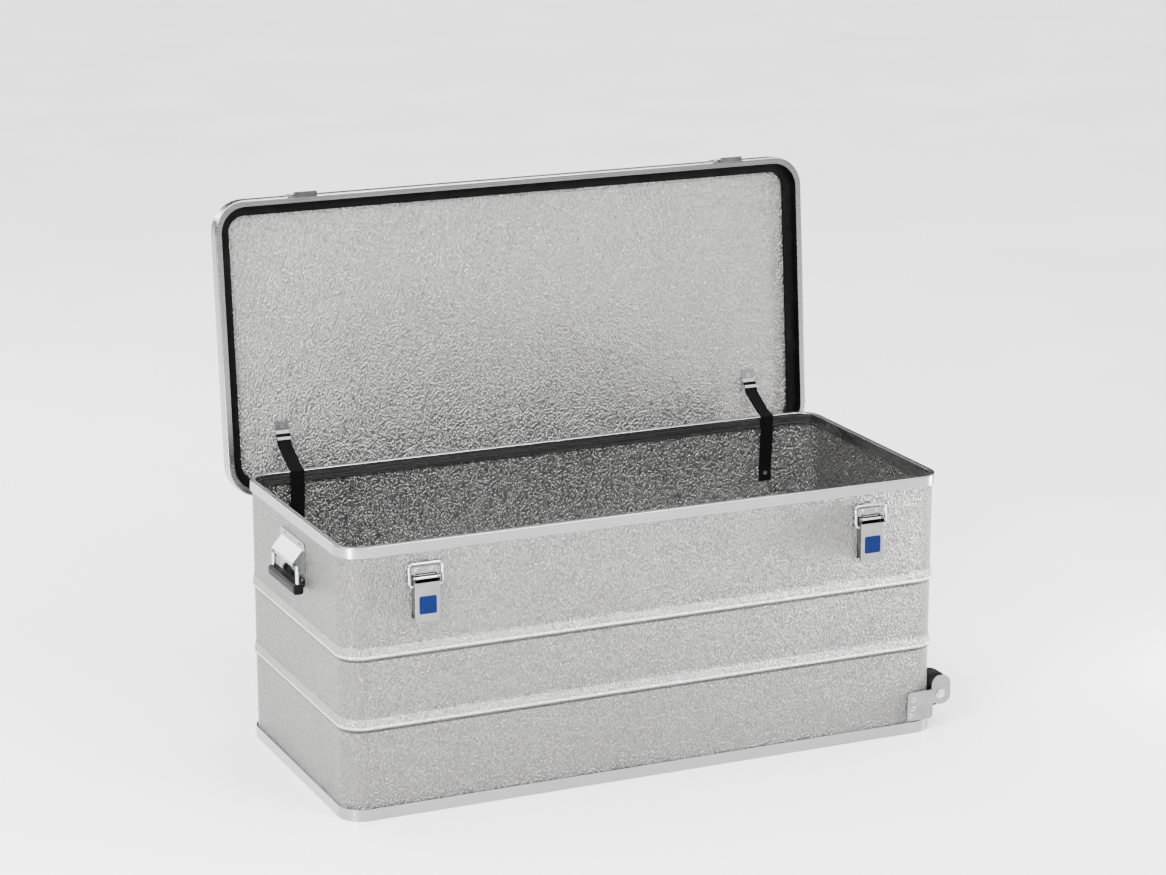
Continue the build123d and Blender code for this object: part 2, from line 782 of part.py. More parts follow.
def lid_catch(name, x):
    """The hook on the lid that the wire loop pulls down."""
    face = -LID_SIDE
    with BuildPart() as catch:
        slab(
            side_plane(LID, x),
            [
                (face, CATCH_HIGH),
                (face, CATCH_LOW),
                (face - CATCH_LIP_OUT, CATCH_LOW),
                (face - CATCH_LIP_OUT, CATCH_LIP_TOP),
                (face - CATCH_LIP_OUT + CATCH_THICK, CATCH_LIP_TOP),
                (face - CATCH_LIP_OUT + CATCH_THICK, CATCH_LOW + CATCH_THICK),
                (face - CATCH_THICK, CATCH_LOW + CATCH_THICK),
                (face - CATCH_THICK, CATCH_HIGH),
            ],
            CATCH_HALF,
            both=True,
        )
        holes(catch_rivets)
    save(catch, f"lid_catch_{name}")


for latch_name, latch_x in (("left", -LATCH_X), ("right", LATCH_X)):
    latch_base(latch_name, latch_x)
    lever(latch_name, latch_x)
    bail(latch_name, latch_x)
    lid_catch(latch_name, latch_x)
rivets("latch_rivets", latch_rivets)
rivets("catch_rivets", catch_rivets)

# ---- end handles ----
HANDLE_HALF = 65.0
HANDLE_TOP = HANDLE_LEVEL + 43.0
HANDLE_BOTTOM = HANDLE_LEVEL - 38.0
HANDLE_OUT = 15.0  # pivot outside the end wall
HANDLE_WIRE = 3.75
HANDLE_LEG = 63.0
HANDLE_DROP = 38.5
CHEEK_OUTER = 55.0
CHEEK = 2.0
HOOD_REACH = 6.5
GRIP = 19.0


def handle_plate(name, side):
    """The plate on the end wall, with a sloping hood and two cheeks that hold the bail."""
    with BuildPart() as plate:
        with BuildSketch(end_plane(side, 0)):
            with Locations((0, (HANDLE_TOP + HANDLE_BOTTOM) / 2)):
                RectangleRounded(2 * HANDLE_HALF, HANDLE_TOP - HANDLE_BOTTOM, 9)
        extrude(amount=HANDLE_PLATE)
        hood_end = HANDLE_OUT + HOOD_REACH
        slab(
            outward_plane(side, 0),
            [
                (0, HANDLE_TOP - 16),
                (0, HANDLE_TOP - 14),
                (HANDLE_PLATE, HANDLE_TOP - 14),
                (hood_end, HANDLE_LEVEL + 7),
                (hood_end, HANDLE_LEVEL + 4.6),
                (HANDLE_PLATE, HANDLE_TOP - 16.5),
            ],
            CHEEK_OUTER,
            both=True,
        )
        for start in (-CHEEK_OUTER, CHEEK_OUTER - CHEEK):
            slab(
                outward_plane(side, side * -start),
                [
                    (HANDLE_PLATE, HANDLE_LEVEL - 16),
                    (HANDLE_OUT + 2, HANDLE_LEVEL - HOOD_REACH),
                    (hood_end, HANDLE_LEVEL),
                    (hood_end, HANDLE_LEVEL + 5),
                    (HANDLE_PLATE, HANDLE_TOP - 15),
                ],
                CHEEK,
            )
        rod(
            Plane((side * (END_FACE + HANDLE_OUT), -HANDLE_HALF, HANDLE_LEVEL), z_dir=(0, 1, 0)),
            HANDLE_WIRE + PIN_CLEARANCE,
            2 * HANDLE_HALF,
            mode=Mode.SUBTRACT,
        )
        holes(handle_rivets)
    save(plate, f"handle_plate_{name}")


def handle_loop(side, radius, mode=Mode.ADD):
    """The handle's closed wire loop, added to or cut from the open part."""
    with BuildLine(end_plane(side, HANDLE_OUT)) as path:
        FilletPolyline(
            (0, HANDLE_LEVEL),
            (HANDLE_LEG, HANDLE_LEVEL),
            (HANDLE_LEG, HANDLE_LEVEL - HANDLE_DROP),
            (-HANDLE_LEG, HANDLE_LEVEL - HANDLE_DROP),
            (-HANDLE_LEG, HANDLE_LEVEL),
            (-1, HANDLE_LEVEL),
            radius=5.5,
        )
        Line((-1, HANDLE_LEVEL), (0, HANDLE_LEVEL))
    with BuildSketch(outward_plane(side, 0)) as section:
        with Locations((HANDLE_OUT, HANDLE_LEVEL)):
            Circle(radius)
    sweep(section.sketch, path=path.wires()[0], mode=mode)


def handle_bail(name, side):
    """The handle's wire loop and the moulded grip around its lower bar."""
    with BuildPart() as loop:
        handle_loop(side, HANDLE_WIRE)
    save(loop, f"handle_bail_{name}")

    with BuildPart() as grip:
        with BuildSketch(outward_plane(side, 0)):
            with Locations((HANDLE_OUT, HANDLE_LEVEL - HANDLE_DROP)):
                RectangleRounded(GRIP, GRIP, 5)
        extrude(amount=GRIP_LENGTH / 2, both=True)
        grip_ends = grip.faces().filter_by(Axis.Y)
        fillet(grip_ends.edges(), radius=3)
        handle_loop(side, HANDLE_WIRE + PIN_CLEARANCE, mode=Mode.SUBTRACT)
    save(grip, f"handle_grip_{name}")


for handle_name, handle_side in (("left", -1), ("right", 1)):
    handle_plate(handle_name, handle_side)
    handle_bail(handle_name, handle_side)
rivets("handle_rivets", handle_rivets)

# ---- corner wheels ----
AXLE = 5.0
AXLE_BORE = AXLE + PIN_CLEARANCE
HUB_RADIUS = 22.0
HUB_BOSS = 9.0
RUNNING_GAP = 0.5
ARM_FACE = NOTCH_INNER - 1.0  # the arm's side towards the wheel
WASHER_RADIUS = 9.0
WASHER = 1.5
BOLT_HEAD = 6.5
BOLT_HEAD_HEIGHT = 3.5
PLATE_MIDDLE = 550.0  # the bracket's riveted plate
PLATE_LEVEL = 52.0
PLATE_WIDTH = 54.0
PLATE_HEIGHT = 56.0
PLATE_ROUND = 7.0
EAR_MIDDLE = 594.0
EAR_LEVEL = 77.5
EAR_WIDTH = 40.0
EAR_HEIGHT = 57.0
EAR_ROUND = 18.0
EAR_FOOT = 55.0
WEB_ROUND = 8.0  # the hollow curve between the plate and the ear
WEB_WIDTH = 16.0
NUT_THICK = 5.0
NUT_RADIUS = 6.8  # over the corners


def axle_plane(side, y):
    """Stands across the axle at |y| and faces outwards, away from the case's middle."""
    return Plane((AXLE_X, side * y, AXLE_LEVEL), x_dir=(1, 0, 0), z_dir=(0, side, 0))


def wheel_bracket(name, side):
    """The plate riveted to the wall, with an ear around the end of the axle."""
    plane = front_plane(CASE, -SIDE_FACE) if side < 0 else back_plane(CASE, SIDE_FACE)
    plate_edge = PLATE_MIDDLE + PLATE_WIDTH / 2
    plate_top = PLATE_LEVEL + PLATE_HEIGHT / 2
    web_foot = EAR_FOOT - WEB_ROUND
    web_middle = plate_edge + WEB_ROUND - WEB_WIDTH / 2
    with BuildPart() as bracket:
        with BuildSketch(plane):
            with Locations((-side * web_middle, (web_foot + plate_top) / 2)):
                Rectangle(WEB_WIDTH, plate_top - web_foot)
            with Locations((-side * (plate_edge + WEB_ROUND), web_foot)):
                Circle(WEB_ROUND, mode=Mode.SUBTRACT)
            with Locations((-side * PLATE_MIDDLE, PLATE_LEVEL)):
                RectangleRounded(PLATE_WIDTH, PLATE_HEIGHT, PLATE_ROUND)
            with Locations((-side * EAR_MIDDLE, EAR_LEVEL)):
                RectangleRounded(EAR_WIDTH, EAR_HEIGHT, EAR_ROUND)
        extrude(amount=BRACKET)
        rod(axle_plane(side, SIDE_FACE), AXLE_BORE, BRACKET, mode=Mode.SUBTRACT)
        holes(wheel_rivets)
    save(bracket, f"wheel_bracket_{name}")


def wheel_arm(name, side):
    """The angle on the end wall that carries the axle's inner end."""
    inner, outer = sorted((side * (ARM_FACE - BRACKET), side * ARM_FACE))
    flange_inner, flange_outer = sorted((side * (ARM_FACE - 30), side * ARM_FACE))
    with BuildPart() as arm:
        block(
            CASE,
            (END_FACE, inner, AXLE_LEVEL - 22),
            (AXLE_X + 14, outer, AXLE_LEVEL + 22),
        )
        block(
            CASE,
            (END_FACE, flange_inner, AXLE_LEVEL - 22),
            (END_FACE + BRACKET, flange_outer, AXLE_LEVEL + 22),
        )
        outer_corners = arm.edges().filter_by(Axis.Y).group_by(Axis.X)[-1]
        fillet(outer_corners, radius=12)
        rod(axle_plane(side, ARM_FACE - 2 * BRACKET), AXLE_BORE, 4 * BRACKET, mode=Mode.SUBTRACT)
        holes(wheel_rivets)
    save(arm, f"wheel_arm_{name}")


def wheel_pocket(name, side):
    """The box let into the corner of the wall behind the wheel."""
    wall = 1.2
    loose = 0.3
    low_y, high_y = sorted((side * (NOTCH_INNER + loose), side * (NOTCH_OUTER - loose)))
    with BuildPart() as pocket:
        block(
            CASE,
            (NOTCH_BACK + loose, low_y, NOTCH_BOTTOM + loose),
            (END_FACE + 1, high_y, NOTCH_TOP - loose),
        )
        block(
            CASE,
            (NOTCH_BACK + loose + wall, low_y + wall, NOTCH_BOTTOM + loose + wall),
            (END_FACE + 1, high_y - wall, NOTCH_TOP - loose - wall),
            mode=Mode.SUBTRACT,
        )
        prism(CASE, 0, BODY_HEIGHT, 0, mode=Mode.INTERSECT)
    save(pocket, f"wheel_pocket_{name}")


def wheel(name, side):
    """The running parts: a plastic hub with a boss and a solid tyre."""
    with BuildPart() as hub:
        rod(axle_plane(side, WHEEL_INNER), HUB_RADIUS, WHEEL_WIDTH)
        rod(
            axle_plane(side, ARM_FACE + RUNNING_GAP),
            HUB_BOSS,
            WHEEL_INNER - ARM_FACE - RUNNING_GAP,
        )
        rod(axle_plane(side, ARM_FACE), AXLE_BORE, 2 * WHEEL_WIDTH, mode=Mode.SUBTRACT)
    save(hub, f"wheel_hub_{name}")

    with BuildPart() as tyre:
        rod(axle_plane(side, WHEEL_INNER), WHEEL_RADIUS, WHEEL_WIDTH)
        fillet(tyre.edges(), radius=5)
        rod(
            axle_plane(side, WHEEL_INNER),
            HUB_RADIUS + PIN_CLEARANCE,
            WHEEL_WIDTH,
            mode=Mode.SUBTRACT,
        )
    save(tyre, f"tyre_{name}")


def axle_bolt(name, side):
    """The bolt through the ear, the spacer, the wheel and the arm."""
    head_face = SIDE_FACE + BRACKET + WASHER
    tail = ARM_FACE - BRACKET - NUT_THICK - 3
    with BuildPart() as bolt:
        rod(axle_plane(side, tail), AXLE, head_face - tail)
        rod(axle_plane(side, head_face), BOLT_HEAD, BOLT_HEAD_HEIGHT)
        top = edges_on(bolt, axle_plane(side, head_face))
        fillet(top, radius=2.2)
    save(bolt, f"axle_bolt_{name}")


for wheel_name, wheel_side in (("front", -1), ("rear", 1)):
    wheel_bracket(wheel_name, wheel_side)
    wheel_arm(wheel_name, wheel_side)
    wheel_pocket(wheel_name, wheel_side)
    wheel(wheel_name, wheel_side)
    axle_bolt(wheel_name, wheel_side)
rivets("wheel_rivets", wheel_rivets)


def axle_rings(name, start, outer, length):
    """A pair of round spacers or washers, one on each axle."""
    with BuildPart() as rings:
        for side in (1, -1):
            rod(axle_plane(side, start), outer, length)
            rod(axle_plane(side, start), AXLE_BORE, length, mode=Mode.SUBTRACT)
    save(rings, name)


axle_rings(
    "axle_spacers",
    WHEEL_OUTER + RUNNING_GAP,
    HUB_BOSS,
    SIDE_FACE - WHEEL_OUTER - RUNNING_GAP,
)
axle_rings("axle_washers", SIDE_FACE + BRACKET, WASHER_RADIUS, WASHER)

with BuildPart() as axle_nuts:
    for side in (1, -1):
        with BuildSketch(axle_plane(side, ARM_FACE - BRACKET - NUT_THICK)):
            RegularPolygon(NUT_RADIUS, 6)
            Circle(AXLE_BORE, mode=Mode.SUBTRACT)
        extrude(amount=NUT_THICK)
save(axle_nuts, "axle_nuts")
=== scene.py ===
import json
import math

import bpy
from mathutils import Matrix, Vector


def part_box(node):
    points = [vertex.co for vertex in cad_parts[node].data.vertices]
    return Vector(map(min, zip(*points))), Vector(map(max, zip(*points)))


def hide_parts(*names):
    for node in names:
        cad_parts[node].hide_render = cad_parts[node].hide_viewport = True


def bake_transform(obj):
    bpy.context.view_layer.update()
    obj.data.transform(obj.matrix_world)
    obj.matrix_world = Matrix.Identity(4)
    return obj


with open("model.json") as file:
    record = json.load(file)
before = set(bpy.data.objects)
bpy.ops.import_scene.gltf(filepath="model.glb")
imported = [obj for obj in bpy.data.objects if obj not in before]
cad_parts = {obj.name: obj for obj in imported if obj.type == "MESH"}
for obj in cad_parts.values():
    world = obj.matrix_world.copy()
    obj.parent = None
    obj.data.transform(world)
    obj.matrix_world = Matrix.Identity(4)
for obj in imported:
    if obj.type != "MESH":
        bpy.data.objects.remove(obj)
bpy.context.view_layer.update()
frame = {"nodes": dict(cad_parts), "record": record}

# The looks of an aluminium transport case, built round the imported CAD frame. Metres.
# Materials first, then the straps, the studio and the camera.

NODES = frame["nodes"]


# ---- a small kit for procedural materials ----
class Recipe:
    """One procedural material. Every texture reads object coordinates, so it stays on the metal."""

    def __init__(self, name):
        self.material = bpy.data.materials.new(name)
        self.material.use_nodes = True
        self.tree = self.material.node_tree
        self.shader = self.tree.nodes["Principled BSDF"]
        self.place = self.add("ShaderNodeTexCoord").outputs["Object"]

    def add(self, kind, **settings):
        node = self.tree.nodes.new(kind)
        for key, value in settings.items():
            setattr(node, key, value)
        return node

    def feed(self, socket, value):
        """Links another node's output, or writes a constant."""
        if isinstance(value, bpy.types.NodeSocket):
            self.tree.links.new(value, socket)
        else:
            socket.default_value = value

    def turned(self, source, scale=(1, 1, 1), rotation=(0, 0, 0)):
        node = self.add("ShaderNodeMapping")
        self.feed(node.inputs["Vector"], source)
        self.feed(node.inputs["Scale"], scale)
        self.feed(node.inputs["Rotation"], rotation)
        return node.outputs["Vector"]

    def noise(self, source, scale, detail=3.0, roughness=0.5, distortion=0.0):
        node = self.add("ShaderNodeTexNoise")
        self.feed(node.inputs["Vector"], source)
        self.feed(node.inputs["Scale"], scale)
        self.feed(node.inputs["Detail"], detail)
        self.feed(node.inputs["Roughness"], roughness)
        self.feed(node.inputs["Distortion"], distortion)
        return node.outputs["Fac"]

    def warped(self, source, scale, amount):
        """Coordinates pushed about by a noise, so that a regular texture loses its order."""
        cloud = self.add("ShaderNodeTexNoise")
        self.feed(cloud.inputs["Vector"], source)
        self.feed(cloud.inputs["Scale"], scale)
        push = self.add("ShaderNodeVectorMath", operation="SCALE")
        self.feed(push.inputs[0], cloud.outputs["Color"])
        self.feed(push.inputs["Scale"], amount)
        total = self.add("ShaderNodeVectorMath", operation="ADD")
        self.feed(total.inputs[0], source)
        self.feed(total.inputs[1], push.outputs["Vector"])
        return total.outputs["Vector"]

    def cells(self, source, scale):
        node = self.add("ShaderNodeTexVoronoi", feature="SMOOTH_F1")
        self.feed(node.inputs["Vector"], source)
        self.feed(node.inputs["Scale"], scale)
        self.feed(node.inputs["Smoothness"], 0.45)
        return node.outputs["Distance"]

    def fit(self, value, low, high, out_low, out_high):
        """Maps low..high smoothly to out_low..out_high."""
        node = self.add("ShaderNodeMapRange", interpolation_type="SMOOTHSTEP")
        self.feed(node.inputs["Value"], value)
        self.feed(node.inputs["From Min"], low)
        self.feed(node.inputs["From Max"], high)
        self.feed(node.inputs["To Min"], out_low)
        self.feed(node.inputs["To Max"], out_high)
        return node.outputs["Result"]

    def sum(self, first, second, operation="ADD"):
        node = self.add("ShaderNodeMath", operation=operation)
        self.feed(node.inputs[0], first)
        self.feed(node.inputs[1], second)
        return node.outputs["Value"]

    def blend(self, share, dark, light):
        """A colour between two, by share."""
        return self.tint(share, (*dark, 1.0), light)

    def tint(self, share, color, target):
        """Moves a colour towards a fixed one, by share."""
        node = self.add("ShaderNodeMixRGB")
        self.feed(node.inputs["Fac"], share)
        self.feed(node.inputs["Color1"], color)
        self.feed(node.inputs["Color2"], (*target, 1.0))
        return node.outputs["Color"]

    def bump(self, height, distance, strength=1.0, under=None):
        node = self.add("ShaderNodeBump")
        self.feed(node.inputs["Height"], height)
        self.feed(node.inputs["Distance"], distance)
        self.feed(node.inputs["Strength"], strength)
        if under is not None:
            self.feed(node.inputs["Normal"], under)
        return node.outputs["Normal"]

    def finish(self, color, roughness, metallic=0.0, normal=None, **more):
        self.feed(self.shader.inputs["Base Color"], color)
        self.feed(self.shader.inputs["Roughness"], roughness)
        self.feed(self.shader.inputs["Metallic"], metallic)
        if normal is not None:
            self.feed(self.shader.inputs["Normal"], normal)
        for key, value in more.items():
            self.feed(self.shader.inputs[key.replace("_", " ")], value)
        return self.material


# ---- metals ----
SHELL_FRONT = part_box("body_shell")[0].y
CREST_BAND = 0.0003  # vertices this close to the foremost one lie on a bead's crest
BEAD_SPACING = 0.03

# Painted light along each bead: a painted highlight on the slope above the crest and on the crest, and a
# painted shadow in the turn below. Each row gives height above the crest, half width, strength and colour.
BEAD_SLOPE_HIGHLIGHT = (0.0105, 0.0085, 0.35, (0.55, 0.545, 0.535))
BEAD_CREST_HIGHLIGHT = (0.0015, 0.0028, 1.0, (0.62, 0.615, 0.605))
BEAD_UNDER_SHADOW = (-0.0062, 0.0026, 0.85, (0.035, 0.034, 0.033))


def bead_crests():
    """Heights of the beads' crests, where the body's sheet stands furthest forward."""
    heights = [v.co.z for v in NODES["body_shell"].data.vertices if v.co.y < SHELL_FRONT + CREST_BAND]
    crests = []
    for height in sorted(heights):
        if not crests or height - crests[-1] > BEAD_SPACING:
            crests.append(height)
    return crests


def line_at(r, height, above, half):
    """1 along a level line this far above a height, fading to 0 at half either side."""
    split = r.add("ShaderNodeSeparateXYZ")
    r.feed(split.inputs["Vector"], r.place)
    offset = r.sum(split.outputs["Z"], height + above, "SUBTRACT")
    return r.fit(r.sum(offset, 0.0, "ABSOLUTE"), half * 0.5, half, 1.0, 0.0)


def bead_painted_light(r, color):
    """Painted highlights along each bead's crest and the slope above, with a painted shadow line in the
    turn below.
    """
    for crest in bead_crests():
        for above, half, strength, paint in (BEAD_SLOPE_HIGHLIGHT, BEAD_CREST_HIGHLIGHT, BEAD_UNDER_SHADOW):
            line = line_at(r, crest, above, half)
            color = r.tint(r.sum(line, strength, "MULTIPLY"), color, paint)
    return color


STUCCO_DEPTH = 0.0017
WALL_DARK = (0.13, 0.128, 0.124)
WALL_LIGHT = (0.25, 0.247, 0.242)
# Lighter pair for the lid's inside: painted light, the wall's sheet coloured as if more strongly lit.
LID_LIT_DARK = (0.19, 0.188, 0.183)
LID_LIT_LIGHT = (0.40, 0.395, 0.388)


def stucco_aluminium(name, dark, light, painted_bead_light=False):
    """Embossed sheet: short worm-like bumps that lean across it, rubbed smoother on their crests, where
    their colour is also lighter as a painted highlight.
    """
    r = Recipe(name)
    loose = r.warped(r.place, 150.0, 0.004)
    leaning = r.turned(loose, scale=(1.0, 1.0, 0.5), rotation=(0.6, 0.75, 0.3))
    bumps = r.fit(r.cells(leaning, 400.0), 0.1, 0.8, 1.0, 0.0)
    fine = r.noise(r.place, 900.0, detail=2.0)
    patches = r.noise(r.place, 5.0, detail=4.0)
    marks = r.noise(r.turned(r.place, scale=(1, 1, 6)), 22.0, detail=5.0, roughness=0.7)
    # Painted highlight: lighter colour on the bumps' crests, plus random patches of tone.
    share = r.sum(r.sum(bumps, 0.7, "MULTIPLY"), r.sum(patches, 0.3, "MULTIPLY"))
    color = r.blend(share, dark, light)
    # Painted highlights and a painted shadow along the beads, laid into the wall's colour.
    if painted_bead_light:
        color = bead_painted_light(r, color)
    roughness = r.sum(
        r.fit(bumps, 0.0, 1.0, 0.36, 0.24),
        r.fit(marks, 0.45, 0.75, 0.0, 0.09),
    )
    normal = r.bump(fine, 0.0001, 0.35)
    normal = r.bump(bumps, STUCCO_DEPTH, 1.0, under=normal)
    return r.finish(color, roughness, 1.0, normal)


def extruded_aluminium(name):
    """Smooth extrusion with faint draw lines, a cloudy sheen and a few handling marks."""
    r = Recipe(name)
    lines = r.noise(r.turned(r.place, scale=(1.5, 1.5, 900)), 1.0, detail=3.0)
    cloud = r.noise(r.place, 9.0, detail=4.0)
    specks = r.noise(r.place, 260.0, detail=4.0, roughness=0.75)
    color = r.blend(cloud, (0.25, 0.251, 0.254), (0.33, 0.332, 0.335))
    roughness = r.sum(
        r.fit(lines, 0.3, 0.7, 0.20, 0.30),
        r.fit(specks, 0.58, 0.75, 0.0, 0.14),
    )
    normal = r.bump(lines, 0.00006, 0.5)
    return r.finish(color, roughness, 1.0, normal)


def plain_aluminium(name):
    """Flat mill-finish sheet with rolling lines and scuffs."""
    r = Recipe(name)
    lines = r.noise(r.turned(r.place, scale=(1, 420, 420)), 1.0, detail=3.0)
    scuffs = r.noise(r.turned(r.place, scale=(1, 5, 5)), 16.0, detail=6.0, roughness=0.75)
    color = r.blend(scuffs, (0.45, 0.455, 0.46), (0.70, 0.70, 0.705))
    roughness = r.sum(r.fit(lines, 0.3, 0.7, 0.28, 0.4), r.fit(scuffs, 0.5, 0.8, 0.0, 0.15))
    return r.finish(color, roughness, 1.0, r.bump(lines, 0.00005, 0.6))


def zinc_steel(name):
    """Pressed fittings: satin zinc, with a soft orange-peel and brighter rubbed spots."""
    r = Recipe(name)
    peel = r.noise(r.place, 420.0, detail=3.0)
    cloud = r.noise(r.place, 45.0, detail=4.0)
    brushed = r.noise(r.turned(r.place, scale=(60, 60, 1500)), 1.0, detail=2.0)
    color = r.blend(cloud, (0.13, 0.131, 0.134), (0.27, 0.272, 0.275))
    roughness = r.sum(r.fit(cloud, 0.35, 0.7, 0.13, 0.22), r.fit(brushed, 0.3, 0.7, 0.0, 0.05))
    return r.finish(color, roughness, 1.0, r.bump(peel, 0.00008, 0.5))


def chrome_wire(name):
    """Polished wire with a little smear and fine pits."""
    r = Recipe(name)
    smear = r.noise(r.place, 90.0, detail=4.0)
    pits = r.noise(r.place, 1400.0, detail=3.0, roughness=0.7)
    color = r.blend(smear, (0.40, 0.405, 0.41), (0.60, 0.605, 0.61))
    roughness = r.fit(smear, 0.35, 0.75, 0.07, 0.19)
    return r.finish(color, roughness, 1.0, r.bump(pits, 0.00003, 0.4))


def bolt_steel(name):
    """Bright turned steel: rings left by the tool and a bloom of zinc."""
    r = Recipe(name)
    turned = r.noise(r.turned(r.place, scale=(1, 0.2, 1)), 1500.0, detail=2.0)
    bloom = r.noise(r.place, 130.0, detail=4.0)
    color = r.blend(bloom, (0.40, 0.41, 0.415), (0.60, 0.60, 0.605))
    roughness = r.fit(bloom, 0.35, 0.7, 0.16, 0.3)
    return r.finish(color, roughness, 1.0, r.bump(turned, 0.00005, 0.5))


def rivet_aluminium(name):
    """Set rivets: hammered a little flat, with dents that vary their tone and dullness."""
    r = Recipe(name)
    dents = r.noise(r.place, 520.0, detail=3.0)
    color = r.blend(dents, (0.25, 0.252, 0.255), (0.45, 0.45, 0.455))
    roughness = r.fit(dents, 0.3, 0.7, 0.24, 0.4)
    return r.finish(color, roughness, 1.0, r.bump(dents, 0.00025, 0.6))


# ---- rubber, plastic and webbing ----
def dark_rubber(name, dark, light, low, high, grain):
    """Black rubber or plastic with grain and lighter dusty, worn patches spread by a noise."""
    r = Recipe(name)
    pores = r.noise(r.place, grain, detail=4.0, roughness=0.65)
    dust = r.noise(r.place, 28.0, detail=5.0, roughness=0.7)
    color = r.blend(r.fit(dust, 0.45, 0.75, 0.0, 1.0), dark, light)
    roughness = r.fit(pores, 0.3, 0.7, low, high)
    normal = r.bump(pores, 0.00025, 0.5)
    return r.finish(color, roughness, 0.0, normal, Specular_IOR_Level=0.06)


def webbing(name):
    """Woven strap: slanting ribs crossed by rows, with fuzzy fibres."""
    r = Recipe(name)
    place = r.add("ShaderNodeUVMap", uv_map="strap").outputs["UV"]
    ribs = r.add("ShaderNodeTexWave", bands_direction="DIAGONAL")
    r.feed(ribs.inputs["Vector"], place)
    r.feed(ribs.inputs["Scale"], 190.0)
    r.feed(ribs.inputs["Distortion"], 0.6)
    rows = r.add("ShaderNodeTexWave", bands_direction="X")
    r.feed(rows.inputs["Vector"], place)
    r.feed(rows.inputs["Scale"], 150.0)
    weave = r.sum(ribs.outputs["Fac"], rows.outputs["Fac"], "MULTIPLY")
    fibres = r.noise(r.place, 1600.0, detail=3.0)
    color = r.blend(weave, (0.0015, 0.0015, 0.0017), (0.006, 0.006, 0.0065))
    normal = r.bump(weave, 0.0005, 0.8, under=r.bump(fibres, 0.0001, 0.5))
    return r.finish(color, r.fit(fibres, 0.3, 0.7, 0.7, 0.95), 0.0, normal, Specular_IOR_Level=0.04)


def blue_label(name):
    """Printed film: even blue with fine grain and a slight cloudiness. No mark is printed on it."""
    r = Recipe(name)
    cloud = r.noise(r.place, 60.0, detail=3.0)
    grain = r.noise(r.place, 2200.0, detail=2.0)
    color = r.blend(cloud, (0.0008, 0.005, 0.045), (0.0015, 0.009, 0.07))
    normal = r.bump(grain, 0.00003, 0.4)
    roughness = r.fit(grain, 0.3, 0.7, 0.26, 0.38)
    return r.finish(color, roughness, 0.0, normal, Specular_IOR_Level=0.08)


MATERIALS = {
    "stucco_aluminium": stucco_aluminium("wall", WALL_DARK, WALL_LIGHT, painted_bead_light=True),
    "rim_aluminium": extruded_aluminium("rim extrusion"),
    "base_aluminium": plain_aluminium("mill sheet"),
    "zinc_steel": zinc_steel("zinc fittings"),
    "rivet_aluminium": rivet_aluminium("rivets"),
    "chrome_wire": chrome_wire("chrome wire"),
    "bolt_steel": bolt_steel("bolt steel"),
    "seal_rubber": dark_rubber("seal", (0.002, 0.002, 0.002), (0.005, 0.005, 0.005), 0.45, 0.62, 700.0),
    "grip_plastic": dark_rubber("grip", (0.004, 0.004, 0.0045), (0.010, 0.010, 0.0105), 0.34, 0.5, 1500.0),
    "tyre_rubber": dark_rubber("tyre", (0.005, 0.005, 0.005), (0.016, 0.0155, 0.015), 0.55, 0.8, 900.0),
    "hub_plastic": dark_rubber("hub", (0.008, 0.008, 0.0085), (0.02, 0.02, 0.02), 0.28, 0.42, 1200.0),
    "black_webbing": webbing("webbing"),
    "blue_label": blue_label("label film"),
}

# The lid's sheet is a brighter copy of the wall's, to match its tone in the photograph: painted light, a
# lighter colour standing in for the stronger light on the lid's inside.
LID_SHEET_LIT_COPY = stucco_aluminium("lid sheet lit copy", LID_LIT_DARK, LID_LIT_LIGHT)

for part in frame["record"]["subparts"]:
    mesh = NODES[part["node"]].data
    mesh.materials.clear()
    mesh.materials.append(MATERIALS[part["material_slot"]])
NODES["lid_panel"].data.materials[0] = LID_SHEET_LIT_COPY

# ---- straps ----
STRAP_THICK = 0.0019
RIM_PROUD = 0.004
SHEET = 0.0015
STRAP_BEND = 0.004  # how far from an edge the strap starts to turn over it
CORNER_STEPS = 7
STRAIGHT_STEP = 0.003
FLAT_ON_WALL = 0.030  # length that lies flat on the back wall, under the rivet
BELOW_RIM = 0.004
OVER_RIM = 0.0016
PAST_RIM = 0.003
RIM_RISE = 0.002
CLIP_RUN = 0.011  # the strap's last bend, before it enters the clip
CLIP_DROP = 0.021
CLIP_INSET = 0.0012


def rounded_route(corners, radius):
    """Points along straight runs joined by short curves at the corners."""
    points = [Vector(corners[0])]
    for before, corner, after in zip(corners, corners[1:], corners[2:]):
        back, here, ahead = Vector(before), Vector(corner), Vector(after)
        cut = min(radius, (here - back).length / 2, (ahead - here).length / 2)
        start = here + (back - here).normalized() * cut
        end = here + (ahead - here).normalized() * cut
        for step in range(CORNER_STEPS + 1):
            t = step / CORNER_STEPS
            points.append(start * (1 - t) ** 2 + here * 2 * t * (1 - t) + end * t * t)
    points.append(Vector(corners[-1]))
    return points


def subdivided(points):
    """The same route with no step longer than STRAIGHT_STEP."""
    result = [points[0]]
    for a, b in zip(points, points[1:]):
        count = max(1, math.ceil((b - a).length / STRAIGHT_STEP))
        result += [a.lerp(b, (i + 1) / count) for i in range(count)]
    return result


def strap_line(low, high, wall):
    """The middle of the strap as (y, z) points: up the wall, over the rim and across to the clip."""
    rim_low, rim_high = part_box("top_rim")
    inner = low.y + STRAP_THICK / 2
    over = rim_high.z + OVER_RIM
    corners = [
        (wall, low.z),
        (wall, low.z + FLAT_ON_WALL),
        (inner, rim_low.z - BELOW_RIM),
        (inner, over),
        (rim_high.y + PAST_RIM, over + RIM_RISE),
        (high.y - CLIP_RUN, high.z - CLIP_DROP),
        (high.y - CLIP_INSET, high.z - CLIP_INSET),
    ]
    return subdivided(rounded_route(corners, STRAP_BEND))


